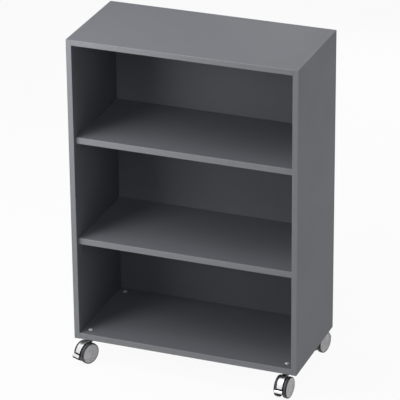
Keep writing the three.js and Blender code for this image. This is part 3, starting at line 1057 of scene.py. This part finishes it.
    def _with_bright_strap(self, hood: BMesh) -> BMesh:
        """Leaves the strap bright; the hood's web, neck and hub get black painted shade.

        Args:
            hood: The hood, which is changed.

        Returns:
            The same hood.
        """
        reach = self.wheel_radius + self.strap_gap - self.casting_grain / 2
        # The web between the wheels, and the neck and hub under the case, get black painted shade.
        for face in hood.faces:
            centre = face.calc_center_median()
            hub = centre.z > self._hub_under() and centre.y > -self.stem_hub_radius
            neck = centre.y > -self.stem_hub_radius / 2
            strap = math.hypot(centre.y + self.trail, centre.z - self.wheel_radius) > reach
            bright = strap and not hub and not neck
            face.material_index = FittingZone.BRIGHT if bright else FittingZone.BLACK
        return hood

    def _hood_bores(self, outer: float, top: float) -> list[BMesh]:
        """Makes the tools for the stem, axle and pivot bores and for the pedal's slot.

        Args:
            outer: The outer radius of the strap about the axle.
            top: The height of the hub's top above the floor.

        Returns:
            The tools.
        """
        over, gap = self.overrun, self.running_gap
        seat = self.case_height - self.flange_thickness - self.collar_depth - gap
        pintle, collar = self.pintle_radius + gap, self.collar_radius + gap
        low, high = self._neck_under() - over, top + over
        stem = turned([(0, low), (pintle, low), (pintle, seat), (collar, seat), (collar, high),
                       (0, high)], Turn.UPRIGHT, self.small_steps)
        reach, pivot = self.wheel_gap / 2 + over, polar(self.pivot_radius, self.pivot_angle)
        side = self.pedal_arm_width / 2 + self.pedal_slot_gap
        slot = block(Vector((-side, -outer - over, pivot[1] - outer)),
                     Vector((side, -self.axle_boss_radius - self.pedal_hub_gap,
                             pivot[1] + self.pedal_hub_radius + self.pedal_hub_gap)))
        return [stem, self._at_axle(self._rod(self.axle_radius + gap, reach, (0, 0))),
                self._at_axle(self._rod(self.trunnion_radius + gap, reach, pivot)),
                self._at_axle(slot)]

    def _rod(self, radius: float, reach: float, middle: Point) -> BMesh:
        """Makes a round rod across the caster about a point of the side view."""
        section = [(0, -reach), (radius, -reach), (radius, reach), (0, reach)]
        return moved(turned(section, Turn.ACROSS, self.small_steps), (0, *middle))

    def _pedal(self) -> BMesh:
        """Casts the brake pedal: hub with trunnions, arm, and a bright foot plate over a lip of black painted
        shade.

        Returns:
            The pedal.
        """
        pivot = polar(self.pivot_radius, self.pivot_angle)
        top_rear, top_up = polar(self.wheel_radius + self.plate_standoff, self.plate_top_angle)
        foot_rear, foot_up = top_rear - self.plate_flare, top_up - self.plate_height
        middle_rear, middle_up = (top_rear + foot_rear) / 2, (top_up + foot_up) / 2
        inner = curve((top_rear, top_up), (middle_rear - 2 * self.plate_bulge, middle_up),
                      (foot_rear, foot_up), self.plate_steps)
        inner.append((foot_rear, foot_up - self.shaded_lip_drop))
        outer = [(rear - self.plate_thickness, up) for rear, up in reversed(inner)]
        half, half_width = self.pedal_arm_height / 2, self.pedal_arm_width / 2
        end = middle_rear - self.plate_thickness
        arm = [(pivot[0], pivot[1] + half), (end, middle_up + half), (end, middle_up - half),
               (pivot[0], pivot[1] - half)]
        bodies = [pressed(inner + outer, self.plate_width), pressed(arm, self.pedal_arm_width),
                  self._rod(self.pedal_hub_radius, half_width, pivot),
                  self._rod(self.trunnion_radius, half_width + self.trunnion_reach, pivot)]
        pedal = cast(joined(bodies), self.casting_grain, self.pedal_polish)
        # The lip below the plate's foot gets black painted shade.
        for face in pedal.faces:
            shaded_lip = face.calc_center_median().z < foot_up + self.shaded_lip_lap
            face.material_index = FittingZone.BLACK if shaded_lip else FittingZone.BRIGHT
        return self._at_axle(pedal)


CASE_MIDDLE = Vector((0, 0, 0.6))


@dataclass(frozen=True)
class Softbox:
    """A square lamp aimed at the middle of the case, as bright as a white card at strength 1."""

    name: str
    place: Vector
    size: float
    strength: float

    def build(self) -> None:
        """Adds the lamp to the scene."""
        data = bpy.data.lights.new(self.name, "AREA")
        data.shape = "SQUARE"
        data.size = self.size
        data.energy = self.strength * math.pi * self.size ** 2
        lamp = bpy.data.objects.new(self.name, data)
        lamp.location = self.place
        lamp.rotation_mode = "QUATERNION"
        lamp.rotation_quaternion = (CASE_MIDDLE - self.place).to_track_quat("-Z", "Y")
        bpy.context.scene.collection.objects.link(lamp)


SOFTBOXES = (
    Softbox("overhead", Vector((0, 0, 3.2)), 2.0, 1.77),
    Softbox("high_front", Vector((0.3, -3, 2.5)), 1.5, 2.37),
    Softbox("right", Vector((3, -1, 1.5)), 1.5, 1.03),
    Softbox("high_left", Vector((-1.2, -1, 2.6)), 1.2, 4.75),
    Softbox("low_left", Vector((-1, -1.1, 0.9)), 0.6, 4.08),
    Softbox("near_left", Vector((-0.8, -0.9, 1.4)), 0.4, 4.25),
    Softbox("right_rear", Vector((2.6, 0.7, 1)), 1.5, 1.38),
    Softbox("left_rear", Vector((-2.6, 0.7, 1)), 1.5, 1.6),
    Softbox("behind", Vector((0, 3, 1.3)), 1.8, 1.95),
)


@dataclass
class Studio:
    """The pale floor, the plain surroundings, the lamps and the camera."""

    surround: float = 0.02
    floor_size: float = 16.0
    floor_colour: Colour = (0.86, 0.86, 0.86, 1)
    floor_roughness: float = 0.9
    floor_plain_share: float = 0.94
    camera_place: Vector = Vector((3.0442, -7.8566, 4.4630))
    camera_azimuth: float = 21.2447
    camera_elevation: float = 24.687
    camera_roll: float = -0.517
    lens: float = 249.54
    view_distance: float = 100

    def build(self) -> None:
        """Sets up the studio."""
        self._camera()
        self._world()
        self._floor()
        for softbox in SOFTBOXES:
            softbox.build()

    def _camera(self) -> None:
        """Places the camera as the photograph was taken, without shift or depth of field."""
        azimuth, elevation = math.radians(self.camera_azimuth), math.radians(self.camera_elevation)
        forward = Vector((-math.sin(azimuth) * math.cos(elevation),
                          math.cos(azimuth) * math.cos(elevation), -math.sin(elevation)))
        data = bpy.data.cameras.new("camera")
        data.lens = self.lens
        data.clip_end = self.view_distance
        camera = bpy.data.objects.new("camera", data)
        turn = (forward.to_track_quat("-Z", "Y").to_matrix()
                @ Matrix.Rotation(math.radians(self.camera_roll), 3, "Z"))
        camera.matrix_world = Matrix.Translation(self.camera_place) @ turn.to_4x4()
        bpy.context.scene.collection.objects.link(camera)
        bpy.context.scene.camera = camera
        bpy.context.scene.view_settings.view_transform = "Standard"

    @staticmethod
    def _seen_directly(tree: NodeTree) -> Node:
        """Tells a look from gathered light.

        Args:
            tree: The tree that gets the nodes.

        Returns:
            A node whose value is 1 where the camera, a reflection or glass looks, else 0.
        """
        path = add_node(tree, "LightPath")
        look = add_node(tree, "Math", operation="MAXIMUM")
        seen = add_node(tree, "Math", operation="MAXIMUM")
        wire(tree, (path, "Is Camera Ray", look, 0), (path, "Is Glossy Ray", look, 1),
             (look, "Value", seen, 0), (path, "Is Transmission Ray", seen, 1))
        return seen

    def _world(self) -> None:
        """Makes the surroundings white to look at and a plain soft light otherwise."""
        world = bpy.data.worlds.new("studio")
        world.use_nodes = True
        tree = world.node_tree
        light = tree.nodes["Background"]
        light.inputs["Color"].default_value = (1, 1, 1, 1)
        level = add_node(tree, "MapRange", {"To Min": self.surround, "To Max": 1})
        wire(tree, (self._seen_directly(tree), "Value", level, "Value"),
             (level, "Result", light, "Strength"))
        bpy.context.scene.world = world

    def _floor(self) -> None:
        """Lays the pale floor, which keeps a faint shadow."""
        bm = bmesh.new()
        bmesh.ops.create_grid(bm, x_segments=1, y_segments=1, size=self.floor_size / 2)
        floor = bpy.data.objects.new("floor", mesh_of(bm, "floor"))
        bpy.context.scene.collection.objects.link(floor)
        made = bpy.data.materials.new("pale floor")
        made.use_nodes = True
        tree = made.node_tree
        shader = tree.nodes["Principled BSDF"]
        shader.inputs["Base Color"].default_value = self.floor_colour
        shader.inputs["Roughness"].default_value = self.floor_roughness
        shader.inputs["Specular IOR Level"].default_value = 0
        plain = add_node(tree, "Emission")
        share = add_node(tree, "Math", {1: self.floor_plain_share}, operation="MULTIPLY")
        mix = add_node(tree, "MixShader")
        wire(tree, (self._seen_directly(tree), "Value", share, 0), (share, "Value", mix, "Fac"),
             (shader, "BSDF", mix, 1), (plain, "Emission", mix, 2),
             (mix, "Shader", tree.nodes["Material Output"], "Surface"))
        floor.data.materials.append(made)


def main() -> None:
    """Builds the studio and every piece in order."""
    logging.basicConfig(level=logging.INFO, format="%(name)s: %(message)s")
    Studio().build()
    Case().build()
    TwinWheelCaster().build()


if __name__ == "__main__":
    main()
